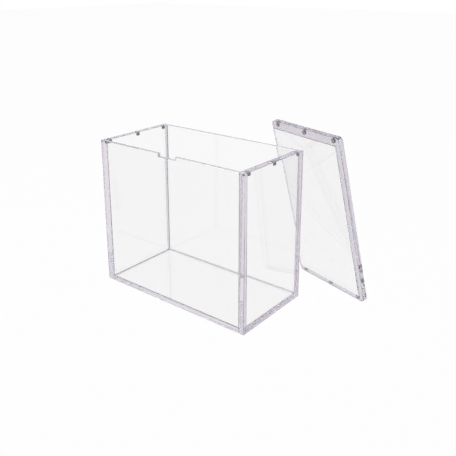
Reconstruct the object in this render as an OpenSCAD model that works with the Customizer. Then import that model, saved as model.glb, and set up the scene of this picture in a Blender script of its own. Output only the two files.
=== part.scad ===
// Clear acrylic display case for a boxed set of trading cards.
// Five bonded panels make the case. Its lid is two bonded plates that disc
// magnets hold on the rim. The lid is off, and leans on the case's back corner.
// The origin is the middle of the case's underside. The front faces -Y.

/* [Case] */
// Length of the case along its front
case_len = 208; // [180:1:240]
// Depth of the case from front to back
case_dep = 106; // [90:1:130]
// Height of the case without its lid
case_ht = 176; // [140:1:210]

/* [Panels] */
// Thickness of the front and back panels
front_t = 4; // [3:0.5:8]
// Thickness of the left and right panels, which hold the magnets
side_t = 8; // [7:0.5:12]
// Thickness of the base panel
base_t = 5; // [3:0.5:10]

/* [Finger notch] */
// Width of the notch in the front panel's top edge
notch_w = 25; // [16:1:40]
// Depth of the notch below the rim
notch_dep = 4; // [3:0.5:10]

/* [Lid] */
// Thickness of the plate that lies on the rim
lid_top_t = 6; // [5:0.5:10]
// Thickness of the plate that drops inside the rim
lid_inner_t = 2; // [1.5:0.5:5]
// Gap between the inner plate and the case's walls, all round
lid_fit_gap = 0.4; // [0.2:0.05:1]
// Radius of the lid's four corners
lid_corner_r = 4.5; // [2:0.5:7]

/* [Magnets] */
// Diameter of a disc magnet
magnet_d = 5; // [3:0.5:6]
// Thickness of a disc magnet
magnet_t = 4; // [2:0.5:4.5]
// Radial clearance of a magnet in its bore
magnet_gap = 0.05; // [0.02:0.01:0.1]
// Depth of a magnet's face below the surface
magnet_sink = 0.15; // [0.05:0.05:0.3]
// Distance from the side panel's end to the middle of the end magnet
magnet_in = 5; // [4:0.5:20]

/* [Leaning lid] */
// Lean of the lid from upright, in degrees
lid_lean = 15.1; // [8:0.1:25]
// Turn of the lid's short edge from the case's length, in degrees
lid_yaw = -16.2; // [-30:0.1:-5]
// Distance of the lid's foot corner inwards from the case's right side
lid_foot_in = 34.8; // [15:0.1:60]
// Clearance between the lid and the corner that it leans on
lean_gap = 0.3; // [0.1:0.05:0.5]

/* [Hidden] */

$fn = 64;
// A cut runs this far past the face that it opens
cut = 1;
acrylic = [0.86, 0.86, 0.92, 0.4];
nickel = [0.16, 0.14, 0.18];

// Clear space inside the walls
inner_len = case_len - 2 * side_t;
inner_dep = case_dep - 2 * front_t;

// A magnet's bore, and where the magnets' middles lie from the case's middle
bore_d = magnet_d + 2 * magnet_gap;
bore_dep = magnet_t + magnet_sink;
magnet_x = case_len / 2 - side_t / 2;
magnet_y = inner_dep / 2 - magnet_in;

// The ledges that the lid's outer plate leaves round the inner plate
ledge_x = side_t + lid_fit_gap;
ledge_y = front_t + lid_fit_gap;

// Direction that the lid's underside faces, which is towards the case
face_x = sin(lid_yaw) * cos(lid_lean);
face_y = -cos(lid_yaw) * cos(lid_lean);
face_z = -sin(lid_lean);

// Y of the foot corner at which one plate just clears the case's back corner.
// The plate's face stands step off the outer plate, and ends at end along it.
function foot_y_for(step, end) =
    let (off = step + lean_gap)
    let (touch_z = min(case_ht, end * cos(lid_lean) + off * face_z))
    case_dep / 2 - (off - lid_foot_in * face_x - touch_z * face_z) / face_y;

lid_foot_x = case_len / 2 - lid_foot_in;
lid_foot_y = max(foot_y_for(lid_inner_t, case_len - ledge_x), foot_y_for(0, case_len));

// Upright panel that spans the case's length, with its outer face at -Y
module long_panel() {
    translate([-case_len / 2, -case_dep / 2, 0])
        cube([case_len, front_t, case_ht]);
}

// Upright panel between the front and back ones, with bores in its top edge
module end_panel(side) {
    difference() {
        translate([side * magnet_x - side_t / 2, -inner_dep / 2, 0])
            cube([side_t, inner_dep, case_ht]);
        for (row = [-1:1])
            translate([side * magnet_x, row * magnet_y, case_ht - bore_dep])
                cylinder(d = bore_d, h = bore_dep + cut);
    }
}

// Plate with rounded corners, with one corner of its outline at the origin
module rounded_plate(len, dep, t, r) {
    linear_extrude(t) {
        translate([r, 0])
            square([len - 2 * r, dep]);
        translate([0, r])
            square([len, dep - 2 * r]);
        for (x = [r, len - r], y = [r, dep - r])
            translate([x, y])
                circle(r);
    }
}

// Puts the lid's pieces, drawn closed with a corner at the origin, where they lean
module leaning() {
    translate([lid_foot_x, lid_foot_y, 0])
        rotate([0, 0, lid_yaw])
            rotate([lid_lean - 90, 0, 0])
                rotate([0, 0, -90])
                    children();
}

// Middle of a lid magnet, measured along the lid from its corner
function lid_magnet_at(side, row) = [case_len / 2 + side * magnet_x, case_dep / 2 + row * magnet_y];

module front_panel() {
    color(acrylic)
        difference() {
            long_panel();
            translate([-notch_w / 2, -case_dep / 2 - cut, case_ht - notch_dep])
                cube([notch_w, front_t + 2 * cut, notch_dep + cut]);
        }
}

module back_panel() {
    color(acrylic)
        mirror([0, 1, 0])
            long_panel();
}

module left_panel() {
    color(acrylic)
        end_panel(-1);
}

module right_panel() {
    color(acrylic)
        end_panel(1);
}

module base_panel() {
    color(acrylic)
        translate([-inner_len / 2, -inner_dep / 2, 0])
            cube([inner_len, inner_dep, base_t]);
}

// Disc magnet in a side panel's top edge
module case_magnet(side, row) {
    color(nickel)
        translate([side * magnet_x, row * magnet_y, case_ht - bore_dep])
            cylinder(d = magnet_d, h = magnet_t);
}

module lid_top_plate() {
    color(acrylic)
        leaning()
            difference() {
                rounded_plate(case_len, case_dep, lid_top_t, lid_corner_r);
                for (side = [-1, 1], row = [-1:1])
                    translate([each lid_magnet_at(side, row), -cut])
                        cylinder(d = bore_d, h = bore_dep + cut);
            }
}

module lid_inner_plate() {
    color(acrylic)
        leaning()
            translate([ledge_x, ledge_y, -lid_inner_t])
                cube([case_len - 2 * ledge_x, case_dep - 2 * ledge_y, lid_inner_t]);
}

// Disc magnet in the underside of the lid's outer plate
module lid_magnet(side, row) {
    color(nickel)
        leaning()
            translate([each lid_magnet_at(side, row), magnet_sink])
                cylinder(d = magnet_d, h = magnet_t);
}

front_panel();
back_panel();
left_panel();
right_panel();
base_panel();
case_magnet(-1, -1);  // left_magnet_front
case_magnet(-1, 0);  // left_magnet_middle
case_magnet(-1, 1);  // left_magnet_back
case_magnet(1, -1);  // right_magnet_front
case_magnet(1, 0);  // right_magnet_middle
case_magnet(1, 1);  // right_magnet_back
lid_top_plate();
lid_inner_plate();
lid_magnet(-1, -1);  // lid_left_magnet_front
lid_magnet(-1, 0);  // lid_left_magnet_middle
lid_magnet(-1, 1);  // lid_left_magnet_back
lid_magnet(1, -1);  // lid_right_magnet_front
lid_magnet(1, 0);  // lid_right_magnet_middle
lid_magnet(1, 1);  // lid_right_magnet_back
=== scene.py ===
"""Looks of a clear acrylic display case for a boxed set of trading cards, with its magnetic lid off.

Everything is in metres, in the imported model's frame, with +Z up and the case's front at -Y. Each sheet is
a closed shell on a grid of lines, so that its arrises, rounded corners, drilled bores and bonded areas are
all moves or marks on one array of points.
"""

import logging
import math
from dataclasses import dataclass, field
from enum import Enum

import bpy
import numpy as np
from mathutils import Matrix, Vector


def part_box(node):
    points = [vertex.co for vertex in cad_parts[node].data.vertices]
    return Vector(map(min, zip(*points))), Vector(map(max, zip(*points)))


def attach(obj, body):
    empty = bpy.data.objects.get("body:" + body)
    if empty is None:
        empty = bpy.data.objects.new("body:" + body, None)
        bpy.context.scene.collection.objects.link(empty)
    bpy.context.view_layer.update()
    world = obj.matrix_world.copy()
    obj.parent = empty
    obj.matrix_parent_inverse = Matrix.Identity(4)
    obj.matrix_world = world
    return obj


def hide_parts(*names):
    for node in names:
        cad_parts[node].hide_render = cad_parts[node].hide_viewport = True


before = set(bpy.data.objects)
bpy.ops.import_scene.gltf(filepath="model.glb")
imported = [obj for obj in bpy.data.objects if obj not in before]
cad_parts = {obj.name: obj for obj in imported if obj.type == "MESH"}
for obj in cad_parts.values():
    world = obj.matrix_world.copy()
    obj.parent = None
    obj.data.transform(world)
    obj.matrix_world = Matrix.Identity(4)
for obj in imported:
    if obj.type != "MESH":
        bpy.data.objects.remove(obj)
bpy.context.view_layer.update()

MM = 0.001
FINISH = "finish"
ACRYLIC_SLOT, MAGNET_SLOT = "clear_acrylic", "magnet_nickel"
MAGNET_SIDES = ("left", "right")
MAGNET_PLACES = ("front", "middle", "back")
BACKDROP_RAYS = ("Is Camera Ray", "Is Glossy Ray", "Is Transmission Ray")
LOG = logging.getLogger("display_case")

Socket = bpy.types.NodeSocket
Pair = tuple[float, float]
Triple = tuple[float, float, float]
Colour = tuple[float, float, float]
Corners = tuple[np.ndarray, np.ndarray]

WHITE: Colour = (1.0, 1.0, 1.0)
ACRYLIC_IOR = 1.49
ALONG, UP = np.array([1.0, 0.0, 0.0]), np.array([0.0, 0.0, 1.0])
PLAN_CORNERS = np.array([[-1, -1], [1, -1], [1, 1], [-1, 1]])

# A direction that no magnet's axis has, and a length that no sheet has
OFF_AXIS = (0.3, 0.9, 0.1)
FAR = 1.0

# Thickness of half a bond, and how far outside a face the other sheet is looked for
HALF_BOND = 0.01 * MM
PROBE = 0.1 * MM

# How far below a finish's number its look starts, and from what share a face counts as facing a direction
MARK_MARGIN = 0.1
FACING = 0.5

# How near counts as on a plane, beside a box, and inside a ring, and the least length to divide by
ON_PLANE = 1e-7
BESIDE = 1e-9
RING_SLACK = 1e-8
NOT_ZERO = 1e-12
PLACE_DIGITS = 7

# Points of a quarter circle, steps of a rounded corner, and rings round a bore as shares of its radius
QUARTER_POINTS = 5
CORNER_STEPS = 6
BORE_RINGS = (0.0, 0.2, 0.4, 0.6, 0.8, 0.97, 1.0, 1.25)


class SheetFace(Enum):
    """Finishes of a sheet's faces, as the number that each face holds in the sheet's finish attribute."""

    POLISHED = 0.0
    EDGE = 0.2
    SAWN = 0.4
    MILLED = 0.6
    BONDED = 0.8


class MagnetFace(Enum):
    """Finishes of a magnet's faces, as the number that each face holds in its finish attribute."""

    FLAT = 0.0
    ROUND = 0.5


@dataclass(frozen=True)
class Grain:
    """A noise pattern: the size of its spots, how much finer it is along each axis, and its finer layers."""

    size: float
    stretch: Triple = (1.0, 1.0, 1.0)
    layers: float = 3.0


@dataclass(frozen=True)
class Bump:
    """The relief of a surface: how strongly it shades, and how deep it is."""

    strength: float
    depth: float


@dataclass
class Graph:
    """The nodes of one material or world, with short ways to add and join them.

    Args:
        tree: The node tree.
    """

    tree: bpy.types.NodeTree

    def add(self, kind: str, inputs: dict, **settings: object) -> bpy.types.Node:
        """Adds a node.

        Args:
            kind: Its type, without the words that all shader nodes start with.
            inputs: Its inputs, each a number, a colour or another node's output.
            settings: Its other settings.

        Returns:
            The node.
        """
        node = self.tree.nodes.new("ShaderNode" + kind)
        for name, value in settings.items():
            setattr(node, name, value)
        for name, value in inputs.items():
            self.feed(node, name, value)
        return node

    def feed(self, node: bpy.types.Node, name: str | int, value: object) -> None:
        """Sets one input of a node to a number or a colour, or links another node's output to it."""
        if isinstance(value, Socket):
            self.tree.links.new(value, node.inputs[name])
        else:
            node.inputs[name].default_value = (*value, 1.0) if isinstance(value, tuple) else value

    def math(self, operation: str, first: object, second: object) -> Socket:
        """Adds a sum, product or test of two values."""
        return self.add("Math", {0: first, 1: second}, operation=operation).outputs[0]

    def span(self, value: Socket, low: float, high: float) -> Socket:
        """Turns a value from 0 to 1 into one from low to high."""
        return self.add("MapRange", {"Value": value, "To Min": low, "To Max": high}).outputs["Result"]

    def blend(self, share: object, first: object, second: object) -> Socket:
        """Mixes two shaders, the second by share."""
        return self.add("MixShader", {"Fac": share, 1: first, 2: second}).outputs["Shader"]

    def tinted(self, first: object, second: object, share: object = 1.0) -> Socket:
        """Multiplies two colours, the second by share."""
        inputs = {"Factor": share, "A": first, "B": second}
        return self.add("Mix", inputs, data_type="RGBA", blend_type="MULTIPLY").outputs["Result"]

    def steps(self, value: Socket, stops: dict[float, Colour], smooth: bool = False) -> Socket:
        """Turns a value into a colour by stops.

        Args:
            value: The value.
            stops: The colour that starts at each value.
            smooth: Whether the colours run into each other.

        Returns:
            The colour.
        """
        node = self.add("ValToRGB", {"Fac": value})
        ramp = node.color_ramp
        ramp.interpolation = "LINEAR" if smooth else "CONSTANT"
        for index, (place, colour) in enumerate(stops.items()):
            stop = ramp.elements[index] if index < 2 else ramp.elements.new(place)
            stop.position, stop.color = place, (*colour, 1.0)
        return node.outputs["Color"]

    def grain(self, pattern: Grain) -> Socket:
        """Adds a noise pattern on the object's own coordinates.

        Args:
            pattern: The pattern.

        Returns:
            Its value, about 0.5 on average.
        """
        place = self.add("TexCoord", {}).outputs["Object"]
        turned = self.add("Mapping", {"Vector": place})
        turned.inputs["Scale"].default_value = pattern.stretch
        inputs = {"Vector": turned.outputs["Vector"], "Scale": 1.0 / pattern.size, "Detail": pattern.layers}
        return self.add("TexNoise", inputs).outputs["Fac"]

    def between(self, value: Socket, stops: Pair, colours: tuple[Colour, Colour]) -> Socket:
        """Adds a colour that runs from one to another while a value runs from one stop to the other."""
        return self.steps(value, dict(zip(stops, colours)), smooth=True)

    def emboss(self, surface: bpy.types.Node, height: Socket, bump: Bump) -> None:
        """Gives a surface relief."""
        relief = self.add("Bump", {"Height": height, "Strength": bump.strength, "Distance": bump.depth})
        self.feed(surface, "Normal", relief.outputs["Normal"])

    def finish_mark(self) -> Socket:
        """Reads the number that each face holds in the finish attribute."""
        return self.add("Attribute", {}, attribute_name=FINISH).outputs["Fac"]

    def seen_by(self, *rays: str) -> Socket:
        """Adds a value that is 1 for rays of any of these kinds."""
        path = self.add("LightPath", {})
        total = path.outputs[rays[0]]
        for ray in rays[1:]:
            total = self.math("MAXIMUM", total, path.outputs[ray])
        return total

    def start(self, name: str) -> Socket:
        """Input of the material's output node."""
        return self.tree.nodes["Material Output"].inputs[name]


def new_material(name: str) -> tuple[bpy.types.Material, Graph, bpy.types.Node]:
    """Makes a material and gives it with its graph and its Principled node."""
    material = bpy.data.materials.new(name)
    material.use_nodes = True
    return material, Graph(material.node_tree), material.node_tree.nodes["Principled BSDF"]


@dataclass(frozen=True)
class FaceLook:
    """How one kind of face looks: the colour of the light it lets in, how clear, rough and uneven it is."""

    colour: Colour
    clear: float
    roughness: float
    relief: float

    def traits(self) -> tuple[Colour, Colour, Colour, Colour]:
        """Its colour, and its clearness, roughness and relief as greys."""
        return self.colour, (self.clear,) * 3, (self.roughness,) * 3, (self.relief,) * 3


@dataclass(frozen=True)
class ClearAcrylic:
    """Clear cast acrylic: its refraction, the tint of a long way through it, and its kinds of face.

    Args:
        name: The material's name.
        ior: Index of refraction.
        tint: Colour that a long way through the sheet turns to.
        density: How fast it turns, per metre.
        polished: Look of a sheet's two broad faces, which keep the gloss they are cast with.
        edge: Look of its narrow faces, which are sawn, trimmed and polished.
        sawn: Look of the rims and ends that are trimmed after bonding, and less polished.
        milled: Look of the lid's ledges.
        bond: Colour of the light that crosses a bonded face, where it is clearest and where it is haziest.
        cast: The two colours that the worked faces drift between.
        shade: Share of a lamp's light that one face lets through.
        drift: Pattern of the drift in colour.
        drift_stops: Values of it at which the two colours are reached.
        hairlines: Pattern of the polish.
        gloss_spread: How much it multiplies the roughness by, at least and at most.
        marks: Pattern of the relief.
        bump: Strength and depth of the relief.
        streaks: Pattern of the bonds.
        streak_stops: Values of it at which the two colours are reached.
    """

    name: str = "clear_acrylic"
    ior: float = ACRYLIC_IOR
    tint: Colour = (0.68, 0.635, 0.72)
    density: float = 4.2
    polished: FaceLook = FaceLook((0.965, 0.965, 0.965), 1.0, 0.004, 0.05)
    edge: FaceLook = FaceLook((0.88, 0.88, 0.88), 0.87, 0.05, 0.08)
    sawn: FaceLook = FaceLook((0.76, 0.74, 0.78), 0.62, 0.15, 0.2)
    milled: FaceLook = FaceLook((0.56, 0.53, 0.59), 1.0, 0.25, 0.35)
    bond: tuple[Colour, Colour] = ((0.986, 0.981, 0.987), (0.97, 0.963, 0.973))
    cast: tuple[Colour, Colour] = ((1.0, 0.93, 0.97), (0.95, 0.97, 1.0))
    shade: float = 0.96
    drift: Grain = Grain(22.0 * MM, layers=1.0)
    drift_stops: Pair = (0.35, 0.65)
    hairlines: Grain = Grain(1.2 * MM, (1.0, 1.0, 0.15))
    gloss_spread: Pair = (0.4, 1.6)
    marks: Grain = Grain(0.9 * MM)
    bump: Bump = Bump(0.3, 0.02 * MM)
    streaks: Grain = Grain(6.0 * MM, (1.0, 1.0, 0.3))
    streak_stops: Pair = (0.45, 0.75)

    def material(self) -> bpy.types.Material:
        """Builds the node material.

        Light bends at every face but a bonded one, which only tints it, in streaks. Each kind of face has its
        own colour, roughness and relief, with fine grain over them. Lamps shine through, so that what stands
        behind a sheet isn't left dark.

        Returns:
            The material, with its absorption in the volume.
        """
        material, graph, surface = new_material(self.name)
        mark = graph.finish_mark()
        starts = {face: max(face.value - MARK_MARGIN, 0.0) for face in SheetFace}
        looks = (self.polished, self.edge, self.sawn, self.milled)
        colour, clear, rough, relief = (
            graph.steps(mark, dict(zip(starts.values(), values)))
            for values in zip(*(look.traits() for look in looks))
        )
        drift = graph.between(graph.grain(self.drift), self.drift_stops, self.cast)
        worked = graph.math("GREATER_THAN", mark, starts[SheetFace.EDGE])
        polish = graph.span(graph.grain(self.hairlines), *self.gloss_spread)
        graph.feed(surface, "Base Color", graph.tinted(colour, drift, worked))
        graph.feed(surface, "Roughness", graph.math("MULTIPLY", rough, polish))
        graph.feed(surface, "IOR", self.ior)
        graph.feed(surface, "Transmission Weight", clear)
        graph.emboss(surface, graph.math("MULTIPLY", graph.grain(self.marks), relief), self.bump)
        streaks = graph.between(graph.grain(self.streaks), self.streak_stops, self.bond)
        bond = graph.add("BsdfTransparent", {"Color": streaks}).outputs["BSDF"]
        bonded = graph.math("GREATER_THAN", mark, starts[SheetFace.BONDED])
        lamp = graph.add("BsdfTransparent", {"Color": (self.shade,) * 3}).outputs["BSDF"]
        sheet = graph.blend(bonded, surface.outputs["BSDF"], bond)
        shown = graph.blend(graph.seen_by("Is Shadow Ray"), sheet, lamp)
        inside = graph.add("VolumeAbsorption", {"Color": self.tint, "Density": self.density})
        graph.tree.links.new(shown, graph.start("Surface"))
        graph.tree.links.new(inside.outputs["Volume"], graph.start("Volume"))
        return material


@dataclass(frozen=True)
class CementBead:
    """The cured solvent cement that is squeezed out along the inside corners: hazy and a little grey.

    Args:
        name: The material's name.
        clear: Colour where it is clearest.
        cloudy: Colour where it is cloudiest.
        clouds: Pattern of the clouds.
        cloud_stops: Values of it at which the two colours are reached.
        roughness: Roughness, on average.
        spread: How much the clouds multiply it by, at least and at most.
        transmission: Share of the light that goes in.
        lumps: Pattern of the relief.
        bump: Strength and depth of the relief.
    """

    name: str = "cured_cement"
    clear: Colour = (0.66, 0.65, 0.68)
    cloudy: Colour = (0.5, 0.49, 0.52)
    clouds: Grain = Grain(3.0 * MM)
    cloud_stops: Pair = (0.35, 0.7)
    roughness: float = 0.3
    spread: Pair = (0.6, 1.4)
    transmission: float = 0.7
    lumps: Grain = Grain(1.0 * MM)
    bump: Bump = Bump(0.5, 0.05 * MM)

    def material(self) -> bpy.types.Material:
        """Builds the node material, cloudier in places.

        Returns:
            The material.
        """
        material, graph, surface = new_material(self.name)
        clouds = graph.grain(self.clouds)
        least, most = self.spread
        graph.feed(surface, "Base Color", graph.between(clouds, self.cloud_stops, (self.clear, self.cloudy)))
        graph.feed(surface, "Roughness", graph.span(clouds, self.roughness * least, self.roughness * most))
        graph.feed(surface, "Transmission Weight", self.transmission)
        graph.feed(surface, "IOR", ACRYLIC_IOR)
        graph.emboss(surface, graph.grain(self.lumps), self.bump)
        return material


@dataclass(frozen=True)
class NickelPlate:
    """Nickel plating on a disc magnet, with a faint mauve cast, and darker round its side.

    Args:
        name: The material's name.
        flat: Colour of the plating on its two flat ends.
        side: Colour of its side.
        worn: Colour where the plating is scuffed.
        scuffs: Pattern of the scuffs.
        scuff_stops: Values of it at which a scuff is fullest and at which it ends.
        scratches: Pattern of the scratches.
        roughness: Roughness of the plating, on average.
        spread: How much the scratches multiply it by, at least and at most.
        bump: Strength and depth of the scratches.
    """

    name: str = "nickel_plate"
    flat: Colour = (0.43, 0.38, 0.43)
    side: Colour = (0.25, 0.23, 0.26)
    worn: Colour = (0.8, 0.78, 0.78)
    scuffs: Grain = Grain(1.5 * MM)
    scuff_stops: Pair = (0.3, 0.65)
    scratches: Grain = Grain(0.3 * MM, (1.0, 0.2, 1.0))
    roughness: float = 0.28
    spread: Pair = (0.7, 1.3)
    bump: Bump = Bump(0.25, 0.01 * MM)

    def material(self) -> bpy.types.Material:
        """Builds the node material: fine scratches in its roughness and relief, and scuffs in its colour.

        Returns:
            The material.
        """
        material, graph, surface = new_material(self.name)
        side_start = MagnetFace.ROUND.value - MARK_MARGIN
        plating = graph.steps(graph.finish_mark(), {MagnetFace.FLAT.value: self.flat, side_start: self.side})
        scuffs = graph.between(graph.grain(self.scuffs), self.scuff_stops, (self.worn, WHITE))
        scratches = graph.grain(self.scratches)
        least, most = self.spread
        rough = graph.span(scratches, self.roughness * least, self.roughness * most)
        graph.feed(surface, "Base Color", graph.tinted(plating, scuffs))
        graph.feed(surface, "Metallic", 1.0)
        graph.feed(surface, "Roughness", rough)
        graph.emboss(surface, scratches, self.bump)
        return material


@dataclass(frozen=True)
class Axes:
    """A right-handed set of axes that pieces are drawn in: their origin and three unit vectors, as rows."""

    origin: np.ndarray
    rows: np.ndarray

    def out(self, points: np.ndarray) -> np.ndarray:
        """Turns points in these axes into points in the frame."""
        return self.origin + points @ self.rows


def middle_of(node: str) -> np.ndarray:
    """Middle of a node's box in the frame."""
    return np.mean([np.array(corner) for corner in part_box(node)], axis=0)


def unit(vector: np.ndarray) -> np.ndarray:
    """A vector's direction."""
    return vector / np.linalg.norm(vector)


def quarter() -> np.ndarray:
    """Angles of the points of a quarter circle."""
    return np.linspace(0.0, math.pi / 2, QUARTER_POINTS)


@dataclass(frozen=True)
class MagnetSize:
    """Sizes of the disc magnets and of the blind bores that they sit in.

    Args:
        radius: A magnet's radius.
        height: Its thickness.
        rim: Radius of its rims.
        turns: Faces round it.
        bore_radius: Radius of its bore.
        bore_depth: Depth of its bore.
        sink: Depth of its face below the surface.
    """

    radius: float = 2.5 * MM
    height: float = 4.0 * MM
    rim: float = 0.3 * MM
    turns: int = 48
    bore_radius: float = 2.55 * MM
    bore_depth: float = 4.15 * MM
    sink: float = 0.15 * MM


MAGNET = MagnetSize()


@dataclass
class Sheet:
    """A flat sheet in its own axes, with what is cut, drilled, rounded and bonded on it.

    Args:
        low: Lowest corner.
        high: Highest corner.
        arris: Width of the small bevel on its edges.
        corner_radius: Radius of its four corners in plan, 0 where they are square.
        notch: Lowest and highest corner of a box that is cut from its edge, or None.
        bores: Middles of the blind bores in plan, one row each.
        bore_side: 1 where they open on the top, -1 where they open underneath.
        bonded_to: Lowest and highest corners of the sheets that touch it.
        milled: Whether the side where the bores open has a milled finish.
        sawn: Outward directions of the narrow faces that are left sawn, one row each.
    """

    low: np.ndarray
    high: np.ndarray
    arris: float
    corner_radius: float = 0.0
    notch: Corners | None = None
    bores: np.ndarray = field(default_factory=lambda: np.zeros((0, 2)))
    bore_side: int = 1
    bonded_to: list[Corners] = field(default_factory=list)
    milled: bool = False
    sawn: np.ndarray = field(default_factory=lambda: np.zeros((0, 3)))

    @staticmethod
    def rings() -> np.ndarray:
        """Half widths of the squares round a bore: its floor's steps and edge, its rim and its surround."""
        return MAGNET.bore_radius * np.array(BORE_RINGS)

    def lines(self, axis: int) -> np.ndarray:
        """Grid lines along one axis, from the features that have an edge there.

        Args:
            axis: 0, 1 or 2.

        Returns:
            The lines' places, in order.
        """
        low, high = self.low[axis], self.high[axis]
        places = [low, low + self.arris, high - self.arris, high]
        places += [edge for box in self.bonded_to for edge in (box[0][axis], box[1][axis])]
        if self.notch is not None:
            places += [corner[axis] for corner in self.notch]
        if axis < 2 and self.corner_radius:
            steps = np.linspace(0.0, self.corner_radius, CORNER_STEPS + 1)[1:]
            places += [*(low + steps), *(high - steps)]
        if axis < 2 and len(self.bores):
            rings = self.rings()
            places += [*np.add.outer(self.bores[:, axis], np.concatenate([-rings, rings])).ravel()]
        inside = np.clip(np.array(places), low, high)
        return np.unique(np.round(inside, PLACE_DIGITS))

    def arrised(self, points: np.ndarray) -> np.ndarray:
        """Bevels the edges: a point at the end of two axes or more moves in by half the arris along each.

        A sheet with rounded corners has no arris on its upright edges, so only its top and bottom count.
        """
        at_low = np.abs(points - self.low) < ON_PLANE
        at_high = np.abs(points - self.high) < ON_PLANE
        ends = at_low | at_high
        on_edge = ends.sum(axis=1) >= 2
        if self.corner_radius:
            on_edge &= ends[:, 2]
        inwards = at_low.astype(float) - at_high.astype(float)
        return points + np.where(on_edge[:, None], inwards * self.arris / 2, 0.0)

    def rounded(self, points: np.ndarray) -> np.ndarray:
        """Rounds the corners in plan: squares round a corner's centre become circles of the same reach."""
        low, high = self.low[:2], self.high[:2]
        near_low = points[:, :2] - low < high - points[:, :2]
        reach = self.corner_radius - np.where(near_low, points[:, :2] - low, high - points[:, :2])
        in_corner = (reach > 0).all(axis=1)
        ratio = reach.max(axis=1) / np.maximum(np.hypot(*reach.T), NOT_ZERO)
        reach = np.where(in_corner[:, None], reach * ratio[:, None], reach)
        inset = self.corner_radius - reach
        points[:, :2] = np.where(near_low, low + inset, high - inset)
        return points

    def drilled(self, points: np.ndarray) -> np.ndarray:
        """Sinks the bores: squares round a bore's middle become circles, and those inside its rim drop."""
        face = self.high[2] if self.bore_side > 0 else self.low[2]
        on_face = np.abs(points[:, 2] - face) < ON_PLANE
        rings = self.rings()
        floor, rim, surround = rings[-3:]
        for bore in self.bores:
            offset = points[:, :2] - bore
            ring = np.abs(offset).max(axis=1)
            touched = on_face & (ring < surround - RING_SLACK) & (ring > RING_SLACK)
            length = np.maximum(np.hypot(*offset.T), NOT_ZERO)
            outwards = np.clip((ring - rim) / (surround - rim), 0.0, 1.0)
            circle = MAGNET.bore_radius * np.where(ring < floor, ring / floor, 1.0)
            radius = circle * (1 - outwards) + length * outwards
            moved = bore + offset * (radius / length)[:, None]
            points[:, :2] = np.where(touched[:, None], moved, points[:, :2])
            drop = np.clip((rim - ring) / (rim - floor), 0.0, 1.0) * MAGNET.bore_depth
            points[:, 2] -= np.where(on_face, drop, 0.0) * self.bore_side
        return points

    def cells(self, lines: list[np.ndarray]) -> np.ndarray:
        """Which cells of the grid hold acrylic: all of them but the notch's."""
        filled = np.ones([len(line) - 1 for line in lines], dtype=bool)
        if self.notch is not None:
            low, high = self.notch
            middles = [(line[1:] + line[:-1]) / 2 for line in lines]
            along, across, up = (
                (places > start) & (places < end) for places, start, end in zip(middles, low, high)
            )
            filled &= ~(along[:, None, None] & across[None, :, None] & up[None, None, :])
        return filled

    def shell(self) -> tuple[np.ndarray, np.ndarray, np.ndarray]:
        """The closed surface: a four-sided face wherever a filled cell meets an empty one.

        Returns:
            The points, the faces' corners, and each face's finish.
        """
        lines = [self.lines(axis) for axis in range(3)]
        padded = np.pad(self.cells(lines), 1).astype(int)
        shape = [len(line) for line in lines]
        number = np.arange(math.prod(shape)).reshape(shape)
        points = np.stack(np.meshgrid(*lines, indexing="ij"), axis=-1).reshape(-1, 3)
        corners, normals = [], []
        for axis in range(3):
            trim = tuple(slice(None) if other == axis else slice(1, -1) for other in range(3))
            step = np.diff(padded, axis=axis)[trim]
            where = np.argwhere(step)
            sign = step[tuple(where.T)]
            across, up = np.eye(3, dtype=int)[[(axis + 1) % 3, (axis + 2) % 3]]
            loop = [where, where + across, where + across + up, where + up]
            quads = np.stack([number[tuple(corner.T)] for corner in loop], axis=1)
            corners.append(np.where(sign[:, None] > 0, quads[:, ::-1], quads))
            normals.append(-sign[:, None] * np.eye(3)[axis])
        corners, normals = np.concatenate(corners), np.concatenate(normals)
        finish = self.finishes(points[corners].mean(axis=1), normals)
        used, corners = np.unique(corners, return_inverse=True)
        points = self.arrised(points[used])
        if self.corner_radius:
            points = self.rounded(points)
        return self.drilled(points), corners.reshape(-1, 4), finish

    def finishes(self, middles: np.ndarray, normals: np.ndarray) -> np.ndarray:
        """Each face's finish, from where its middle lies.

        Args:
            middles: The faces' middles, before the bores are sunk.
            normals: The faces' outward directions.

        Returns:
            One number of SheetFace for each face.
        """
        finish = np.full(len(middles), SheetFace.POLISHED.value)
        thin = int(np.argmin(self.high - self.low))
        broad = np.abs(normals[:, thin]) > FACING
        border = np.minimum(middles - self.low, self.high - middles)
        border[:, thin] = np.inf
        finish[~broad | (border.min(axis=1) < self.arris)] = SheetFace.EDGE.value
        finish[(normals @ self.sawn.T > FACING).any(axis=1)] = SheetFace.SAWN.value
        opens = normals[:, 2] * self.bore_side > FACING
        if self.milled:
            finish[opens & broad] = SheetFace.MILLED.value
        probe = middles + normals * PROBE
        for low, high in self.bonded_to:
            finish[((probe > low) & (probe < high)).all(axis=1)] = SheetFace.BONDED.value
        for bore in self.bores:
            in_bore = np.abs(middles[:, :2] - bore).max(axis=1) < MAGNET.bore_radius
            finish[opens & in_bore] = SheetFace.BONDED.value
        return finish


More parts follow.
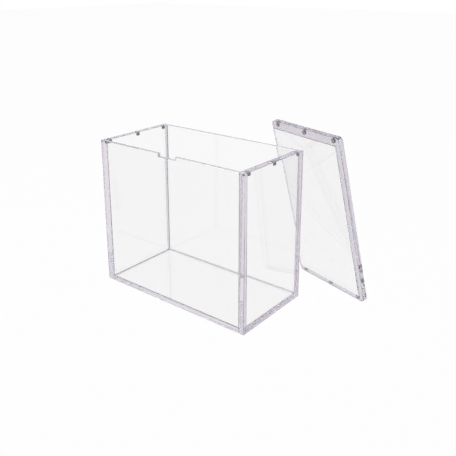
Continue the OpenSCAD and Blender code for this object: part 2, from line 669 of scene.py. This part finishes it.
@dataclass
class Piece:
    """One mesh object of the model, in the frame's coordinates.

    Args:
        name: The piece's name.
        points: Its points.
        faces: Each face's corners.
        marks: Each face's finish.
        body: The body that it rides on.
        slot: Name of a material slot, which is not used.
        node: The node that it stands for, or None.
        sharp: Angle in degrees from which an edge is sharp.
    """

    name: str
    points: np.ndarray
    faces: list[list[int]]
    marks: np.ndarray
    body: str
    slot: str
    node: str | None = None
    sharp: float = 30.0

    def place(self, material: bpy.types.Material) -> None:
        """Makes the object, dresses it and lets it ride on its body.

        Args:
            material: Its finish.
        """
        mesh = bpy.data.meshes.new(self.name)
        mesh.from_pydata(self.points.tolist(), [], self.faces)
        mesh.materials.append(material)
        marks = mesh.attributes.new(FINISH, "FLOAT", "FACE")
        marks.data.foreach_set("value", self.marks.astype(np.float32))
        mesh.polygons.foreach_set("use_smooth", np.ones(len(mesh.polygons), dtype=bool))
        mesh.update()
        mesh.set_sharp_from_angle(angle=math.radians(self.sharp))
        piece = bpy.data.objects.new(self.name, mesh)
        bpy.context.scene.collection.objects.link(piece)
        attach(piece, self.body)
        if self.node is not None:
            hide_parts(self.node)
        LOG.info("%s: %d points, %d faces, on %s", self.name, len(self.points), len(self.faces), self.body)


@dataclass
class Magnet:
    """A disc magnet with a small radius round both rims.

    Args:
        node: The node that it stands for.
        body: The body that it rides on.
        axis: Direction of its axis.
        sharp: Angle in degrees from which an edge is sharp.
    """

    node: str
    body: str
    axis: np.ndarray
    sharp: float = 40.0

    def profile(self) -> np.ndarray:
        """Distance from the axis and height of the outline, from end to end over two quarter circles."""
        bend = quarter()
        reach = MAGNET.radius - MAGNET.rim * (1 - np.sin(bend))
        low = np.stack([reach, MAGNET.rim * (1 - np.cos(bend))], axis=1)
        high = low[::-1] * [1, -1] + [0, MAGNET.height]
        return np.concatenate([low, high]) - [0, MAGNET.height / 2]

    def build(self) -> Piece:
        """Turns the outline round the axis: radius times cosine and sine of the angle, at each height.

        Returns:
            The piece.
        """
        outline, turns = self.profile(), MAGNET.turns
        angle = np.linspace(0.0, 2 * math.pi, turns, endpoint=False)
        side = unit(np.cross(self.axis, OFF_AXIS))
        other = np.cross(self.axis, side)
        spokes = np.cos(angle)[:, None] * side + np.sin(angle)[:, None] * other
        wall = outline[:, 0, None, None] * spokes + outline[:, 1, None, None] * self.axis
        points = wall.reshape(-1, 3) + middle_of(self.node)
        grid = np.arange(len(outline) * turns).reshape(len(outline), turns)
        ahead = np.roll(grid, -1, axis=1)
        quads = np.stack([grid[:-1], ahead[:-1], ahead[1:], grid[1:]], axis=-1).reshape(-1, 4)
        faces = [*quads.tolist(), grid[0, ::-1].tolist(), grid[-1].tolist()]
        marks = np.full(len(faces), MagnetFace.FLAT.value)
        marks[:len(quads)] = MagnetFace.ROUND.value
        name = self.node + "_disc"
        return Piece(name, points, faces, marks, self.body, MAGNET_SLOT, self.node, sharp=self.sharp)


def add_magnets(prefix: str, body: str, axis: np.ndarray, nickel: bpy.types.Material) -> None:
    """Builds and dresses one body's magnets.

    Args:
        prefix: What their nodes' names start with.
        body: The body.
        axis: Direction of their axes.
        nickel: Their finish.
    """
    for side in MAGNET_SIDES:
        for place in MAGNET_PLACES:
            Magnet(f"{prefix}{side}_magnet_{place}", body, axis).build().place(nickel)


@dataclass
class CementBeads:
    """The beads along the inside corners: one round the base, and one up each upright corner.

    Args:
        low: Lowest corner of the clear space.
        high: Highest corner of the clear space.
        leg: How far a bead reaches along each wall.
        gap: Its distance from the walls.
        stop: How far below the rim the upright beads end.
    """

    low: np.ndarray
    high: np.ndarray
    leg: float = 0.8 * MM
    gap: float = 0.02 * MM
    stop: float = 0.5 * MM

    def profile(self) -> np.ndarray:
        """Outline of a bead across its length: the corner, and a hollow quarter circle from wall to wall."""
        bend = quarter()
        hollow = self.leg - (self.leg - self.gap) * np.stack([np.sin(bend), np.cos(bend)], axis=1)
        return np.concatenate([[[self.gap, self.gap]], hollow[::-1]])

    def drawn_in(self, signs: np.ndarray, reach: np.ndarray) -> np.ndarray:
        """Corners of the clear space in plan, drawn in by a reach."""
        middle, half = (self.low + self.high)[:2] / 2, (self.high - self.low)[:2] / 2
        return middle + signs * (half - reach)

    def ring(self) -> tuple[np.ndarray, np.ndarray]:
        """The bead round the base: the plan's corners drawn in by the outline's reach, at its height."""
        outline = self.profile()
        plan = self.drawn_in(PLAN_CORNERS[:, None, :], outline[None, :, :1])
        height = np.broadcast_to(self.low[2] + outline[:, 1:], (len(PLAN_CORNERS), len(outline), 1))
        grid = np.arange(len(PLAN_CORNERS) * len(outline)).reshape(len(PLAN_CORNERS), -1)
        ahead, beside = np.roll(grid, -1, axis=0), np.roll(grid, -1, axis=1)
        faces = np.stack([grid, ahead, np.roll(ahead, -1, axis=1), beside], axis=-1)
        return np.concatenate([plan, height], axis=2).reshape(-1, 3), faces.reshape(-1, 4)

    def upright(self, signs: np.ndarray) -> tuple[np.ndarray, list[list[int]]]:
        """The bead up one upright corner: the outline in plan, from the base's bead to below the rim."""
        outline = self.profile()
        plan = self.drawn_in(signs, outline)
        heights = (self.low[2] + self.leg + self.gap, self.high[2] - self.stop)
        points = np.concatenate([np.column_stack([plan, np.full(len(plan), height)]) for height in heights])
        low = np.arange(len(outline))
        high = low + len(outline)
        sides = np.stack([low, np.roll(low, -1), np.roll(high, -1), high], axis=-1)
        faces = [*sides.tolist(), low[::-1].tolist(), high.tolist()]
        turned = np.prod(signs) > 0
        return points, [face[::-1] for face in faces] if turned else faces

    def build(self) -> Piece:
        """Joins the beads in one piece.

        Returns:
            The piece.
        """
        points, faces = self.ring()
        faces = faces.tolist()
        for signs in PLAN_CORNERS:
            more, more_faces = self.upright(signs)
            faces += [[corner + len(points) for corner in face] for face in more_faces]
            points = np.concatenate([points, more])
        return Piece("cement_beads", points, faces, np.zeros(len(faces)), "case", ACRYLIC_SLOT)


@dataclass
class Case:
    """The five bonded panels, and the magnets in the side panels' top edges.

    Args:
        arris: Width of the bevel on the panels' edges.
        notch_width: Width of the finger notch.
        notch_depth: Depth of the finger notch.
        panels: The panels' nodes.
    """

    arris: float = 0.4 * MM
    notch_width: float = 25.0 * MM
    notch_depth: float = 4.0 * MM
    panels: tuple[str, ...] = ("front_panel", "back_panel", "left_panel", "right_panel", "base_panel")

    def boxes(self) -> dict[str, Corners]:
        """Each panel's box, drawn back by half a bond where it meets its neighbour."""
        boxes = {name: [np.array(corner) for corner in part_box(name)] for name in self.panels}
        for name in ("left_panel", "right_panel", "base_panel"):
            boxes[name][0][1] += HALF_BOND
            boxes[name][1][1] -= HALF_BOND
        boxes["base_panel"][0][0] += HALF_BOND
        boxes["base_panel"][1][0] -= HALF_BOND
        boxes["front_panel"][1][1] -= HALF_BOND
        boxes["back_panel"][0][1] += HALF_BOND
        return {name: (low, high) for name, (low, high) in boxes.items()}

    def bonds_of(self, name: str, boxes: dict[str, Corners]) -> list[Corners]:
        """Boxes of the other panels, without their arrises across the bond's direction.

        Args:
            name: The panel whose neighbours are asked for.
            boxes: Every panel's box.

        Returns:
            The lowest and highest corners, grown across the bond so that they reach over it.
        """
        own_low, own_high = boxes[name]
        result = []
        for low, high in (box for other, box in boxes.items() if other != name):
            apart = (low >= own_high - BESIDE) | (high <= own_low + BESIDE)
            inset = np.where(apart, -2 * HALF_BOND, self.arris)
            result.append((low + inset, high - inset))
        return result

    def panel(self, name: str, boxes: dict[str, Corners]) -> Piece:
        """Builds one panel.

        Args:
            name: The panel's node.
            boxes: Every panel's box.

        Returns:
            The piece.
        """
        low, high = boxes[name]
        sheet = Sheet(low, high, arris=self.arris, bonded_to=self.bonds_of(name, boxes))
        side = name.split("_")[0]
        if side == "front":
            half = self.notch_width / 2
            sheet.notch = (np.array([-half, -FAR, high[2] - self.notch_depth]), np.array([half, FAR, FAR]))
        if side in ("front", "back"):
            sheet.sawn = np.array([-ALONG, ALONG, UP, -UP])
        if side in MAGNET_SIDES:
            sheet.sawn = np.array([-UP])
            sheet.bores = np.array([middle_of(f"{side}_magnet_{place}")[:2] for place in MAGNET_PLACES])
        points, faces, marks = sheet.shell()
        return Piece(name + "_sheet", points, faces.tolist(), marks, "case", ACRYLIC_SLOT, name)

    def build(self) -> None:
        """Builds and dresses the panels, the beads in their corners and their magnets."""
        boxes = self.boxes()
        acrylic = ClearAcrylic().material()
        for name in self.panels:
            self.panel(name, boxes).place(acrylic)
        low = np.array([boxes["left_panel"][1][0], boxes["front_panel"][1][1], boxes["base_panel"][1][2]])
        high = np.array([boxes["right_panel"][0][0], boxes["back_panel"][0][1], boxes["left_panel"][1][2]])
        CementBeads(low, high).build().place(CementBead().material())
        add_magnets("", "case", UP, NickelPlate().material())


@dataclass
class Lid:
    """The lid's outer and inner plates and the magnets in its ledges, drawn closed in the lid's own axes.

    Args:
        arris: Width of the bevel on the plates' edges.
        top_thickness: Thickness of the outer plate.
        inner_thickness: Thickness of the inner plate.
        corner_radius: Radius of the outer plate's corners.
        end_inset: Distance from the outer plate's short edge to the magnets' middles.
        side_inset: Distance from its long edge to the end magnets' middles.
        ledge: Width of the ledges round the inner plate, at the short edges and at the long ones.
        acrylic: Their finish, which is a little less clear than the case's, with clearer bonds.
    """

    arris: float = 0.3 * MM
    top_thickness: float = 6.0 * MM
    inner_thickness: float = 2.0 * MM
    corner_radius: float = 4.5 * MM
    end_inset: float = 4.0 * MM
    side_inset: float = 9.0 * MM
    ledge: Pair = (8.4 * MM, 4.4 * MM)
    acrylic: ClearAcrylic = ClearAcrylic(
        "lid_acrylic",
        polished=FaceLook((0.93, 0.93, 0.93), 1.0, 0.004, 0.05),
        bond=((0.998, 0.998, 0.998), (0.988, 0.988, 0.99)),
    )

    def axes(self) -> tuple[Axes, np.ndarray]:
        """The lid's own axes, from where its magnets are.

        Returns:
            The axes, with the origin at the outer plate's corner on its underside, and its length and depth.
        """
        corner = middle_of("lid_left_magnet_front")
        along = middle_of("lid_right_magnet_front") - corner
        across = middle_of("lid_left_magnet_back") - corner
        rows = np.stack([unit(along), unit(across), np.cross(unit(along), unit(across))])
        depth_in = MAGNET.sink + MAGNET.height / 2
        origin = corner - rows.T @ np.array([self.end_inset, self.side_inset, depth_in])
        insets = 2 * np.array([self.end_inset, self.side_inset])
        plan = np.array([np.linalg.norm(along), np.linalg.norm(across)]) + insets
        return Axes(origin, rows), plan

    def plates(self, plan: np.ndarray) -> dict[str, Sheet]:
        """The two plates in the lid's own axes.

        Args:
            plan: The outer plate's length and depth.

        Returns:
            Each plate by its node.
        """
        ledge = np.array(self.ledge)
        top_low, top_high = np.array([0.0, 0.0, HALF_BOND]), np.array([*plan, self.top_thickness])
        inner_low = np.array([*ledge, -self.inner_thickness])
        inner_high = np.array([*(plan - ledge), -HALF_BOND])
        inset = np.array([self.arris, self.arris, -2 * HALF_BOND])
        rows = np.array([self.end_inset, plan[0] - self.end_inset])
        columns = np.array([self.side_inset, plan[1] / 2, plan[1] - self.side_inset])
        bores = np.stack(np.meshgrid(rows, columns, indexing="ij"), axis=-1).reshape(-1, 2)
        top = Sheet(
            top_low, top_high, arris=self.arris, corner_radius=self.corner_radius, bores=bores, bore_side=-1,
            bonded_to=[(inner_low + inset, inner_high - inset)], milled=True,
        )
        over = 2 * HALF_BOND
        inner = Sheet(inner_low, inner_high, arris=self.arris, bonded_to=[(top_low - over, top_high + over)])
        return {"lid_top_plate": top, "lid_inner_plate": inner}

    def build(self) -> None:
        """Builds and dresses the two plates and the magnets."""
        axes, plan = self.axes()
        acrylic = self.acrylic.material()
        for node, sheet in self.plates(plan).items():
            points, faces, marks = sheet.shell()
            points = axes.out(points)
            piece = Piece(node + "_sheet", points, faces.tolist(), marks, "lid", ACRYLIC_SLOT, node)
            piece.place(acrylic)
        add_magnets("lid_", "lid", axes.rows[2], NickelPlate("lid_nickel_plate").material())


@dataclass(frozen=True)
class Lamp:
    """A square soft lamp that faces the case: its name, place, side in metres and power in watts."""

    name: str
    place: Triple
    size: float
    power: float


@dataclass
class Studio:
    """The camera at the photograph's place, a pale floor, a white backdrop and soft lamps.

    Args:
        position: The camera's place.
        azimuth: Turn of the camera round the case from its front, in degrees.
        elevation: How far the camera looks down, in degrees.
        focal: Focal length in pixels of the photograph.
        frame_size: Width and height of the photograph in pixels.
        centre_row: Row of the photograph that the camera's axis meets.
        sensor: Width of the camera's sensor, in millimetres.
        lamps: The lamps.
        target: The point that the lamps face.
        floor_half: Half the floor's side.
        floor_drop: How far the floor lies below the case.
        floor_colour: Colour of the floor.
        floor_roughness: Roughness of the floor.
        floor_glow: How much of the floor's look is the backdrop's white, for rays that show the backdrop.
        room: Colour of the room that lights the case.
        ceiling: Colour of the room overhead, for rays that show the backdrop.
        ceiling_stops: Heights of a ray at which the backdrop starts to darken and at which it ends.
        clip: Nearest and farthest distance that the camera sees.
        bounces: Most times that light bounces, inside the sheets.
        clear_bounces: Most bonds and shadows that light crosses without bending.
    """

    position: Triple = (440.0 * MM, -503.3 * MM, 356.4 * MM)
    azimuth: float = 38.38
    elevation: float = 16.51
    focal: float = 617.7
    frame_size: float = 456.0
    centre_row: float = 160.0
    sensor: float = 36.0
    lamps: tuple[Lamp, ...] = (
        Lamp("key_lamp", (-0.9, -1.0, 1.5), 1.0, 14.0),
        Lamp("fill_lamp", (1.4, 0.2, 1.2), 1.0, 7.0),
    )
    target: Triple = (0.03, 0.03, 0.09)
    floor_half: float = 6.0
    floor_drop: float = 0.05 * MM
    floor_colour: Colour = (0.82, 0.82, 0.83)
    floor_roughness: float = 0.9
    floor_glow: float = 0.96
    room: Colour = (0.45, 0.45, 0.47)
    ceiling: Colour = (0.87, 0.87, 0.88)
    ceiling_stops: Pair = (0.2, 0.6)
    clip: Pair = (0.01, 50.0)
    bounces: int = 64
    clear_bounces: int = 512

    @staticmethod
    def add_turned(name: str, data: bpy.types.ID, back: np.ndarray, place: Triple) -> bpy.types.Object:
        """Adds an object that looks against a direction, with its own up nearest to the frame's.

        Args:
            name: Its name.
            data: Its camera or light.
            back: The direction behind it.
            place: Its place.

        Returns:
            The object.
        """
        right = unit(np.cross(UP, back))
        matrix = np.eye(4)
        matrix[:3, :] = np.stack([right, np.cross(back, right), back, np.array(place)], axis=1)
        turned = bpy.data.objects.new(name, data)
        turned.matrix_world = Matrix(matrix.tolist())
        bpy.context.scene.collection.objects.link(turned)
        return turned

    def add_camera(self) -> None:
        """Puts the camera where the photograph was taken."""
        turn, lift = math.radians(self.azimuth), math.radians(self.elevation)
        back = np.array([math.sin(turn) * math.cos(lift), -math.cos(turn) * math.cos(lift), math.sin(lift)])
        data = bpy.data.cameras.new("photo_camera")
        data.sensor_width = self.sensor
        data.lens = self.focal / self.frame_size * self.sensor
        data.shift_y = (self.centre_row - self.frame_size / 2) / self.frame_size
        data.clip_start, data.clip_end = self.clip
        bpy.context.scene.camera = self.add_turned("photo_camera", data, back, self.position)

    def add_floor(self) -> None:
        """Lays the floor: matt, and as white as the backdrop for the rays that show the backdrop."""
        height = -self.floor_drop
        corners = [(*corner, height) for corner in (PLAN_CORNERS * self.floor_half).tolist()]
        mesh = bpy.data.meshes.new("studio_floor")
        mesh.from_pydata(corners, [], [[0, 1, 2, 3]])
        floor = bpy.data.objects.new("studio_floor", mesh)
        bpy.context.scene.collection.objects.link(floor)
        material, graph, surface = new_material("pale_floor")
        graph.feed(surface, "Base Color", self.floor_colour)
        graph.feed(surface, "Roughness", self.floor_roughness)
        glow = graph.add("Emission", {"Strength": 1.0}).outputs["Emission"]
        seen = graph.seen_by(*BACKDROP_RAYS)
        share = graph.math("MULTIPLY", seen, self.floor_glow)
        graph.tree.links.new(graph.blend(share, surface.outputs["BSDF"], glow), graph.start("Surface"))
        mesh.materials.append(material)

    def add_world(self) -> None:
        """White backdrop for what is seen, paler overhead, and a plain grey room for what it lights."""
        world = bpy.data.worlds.new("studio")
        world.use_nodes = True
        bpy.context.scene.world = world
        graph = Graph(world.node_tree)
        direction = graph.add("TexCoord", {}).outputs["Generated"]
        height = graph.add("SeparateXYZ", {"Vector": direction}).outputs["Z"]
        sky = graph.between(height, self.ceiling_stops, (WHITE, self.ceiling))
        backdrop = graph.add("Background", {"Color": sky}).outputs["Background"]
        room = world.node_tree.nodes["Background"]
        graph.feed(room, "Color", self.room)
        seen = graph.seen_by(*BACKDROP_RAYS)
        shown = graph.blend(seen, room.outputs["Background"], backdrop)
        graph.tree.links.new(shown, world.node_tree.nodes["World Output"].inputs["Surface"])

    def add_lamp(self, lamp: Lamp) -> None:
        """Hangs a lamp that faces the case, and isn't itself seen through the sheets.

        Args:
            lamp: The lamp.
        """
        data = bpy.data.lights.new(lamp.name, "AREA")
        data.shape, data.size, data.energy = "SQUARE", lamp.size, lamp.power
        back = unit(np.array(lamp.place) - np.array(self.target))
        hung = self.add_turned(lamp.name, data, back, lamp.place)
        hung.visible_transmission = False

    def build(self) -> None:
        """Sets up the camera, floor, backdrop and lamps, and enough bounces for light inside the sheets."""
        self.add_camera()
        self.add_floor()
        self.add_world()
        for lamp in self.lamps:
            self.add_lamp(lamp)
        scene = bpy.context.scene
        scene.view_settings.view_transform = "Standard"
        cycles = scene.cycles
        cycles.max_bounces = cycles.glossy_bounces = cycles.transmission_bounces = self.bounces
        cycles.transparent_max_bounces = self.clear_bounces


def main() -> None:
    """Builds the studio, the case and the lid."""
    logging.basicConfig(level=logging.INFO, format="%(message)s")
    Studio().build()
    Case().build()
    Lid().build()


if __name__ == "__main__":
    main()
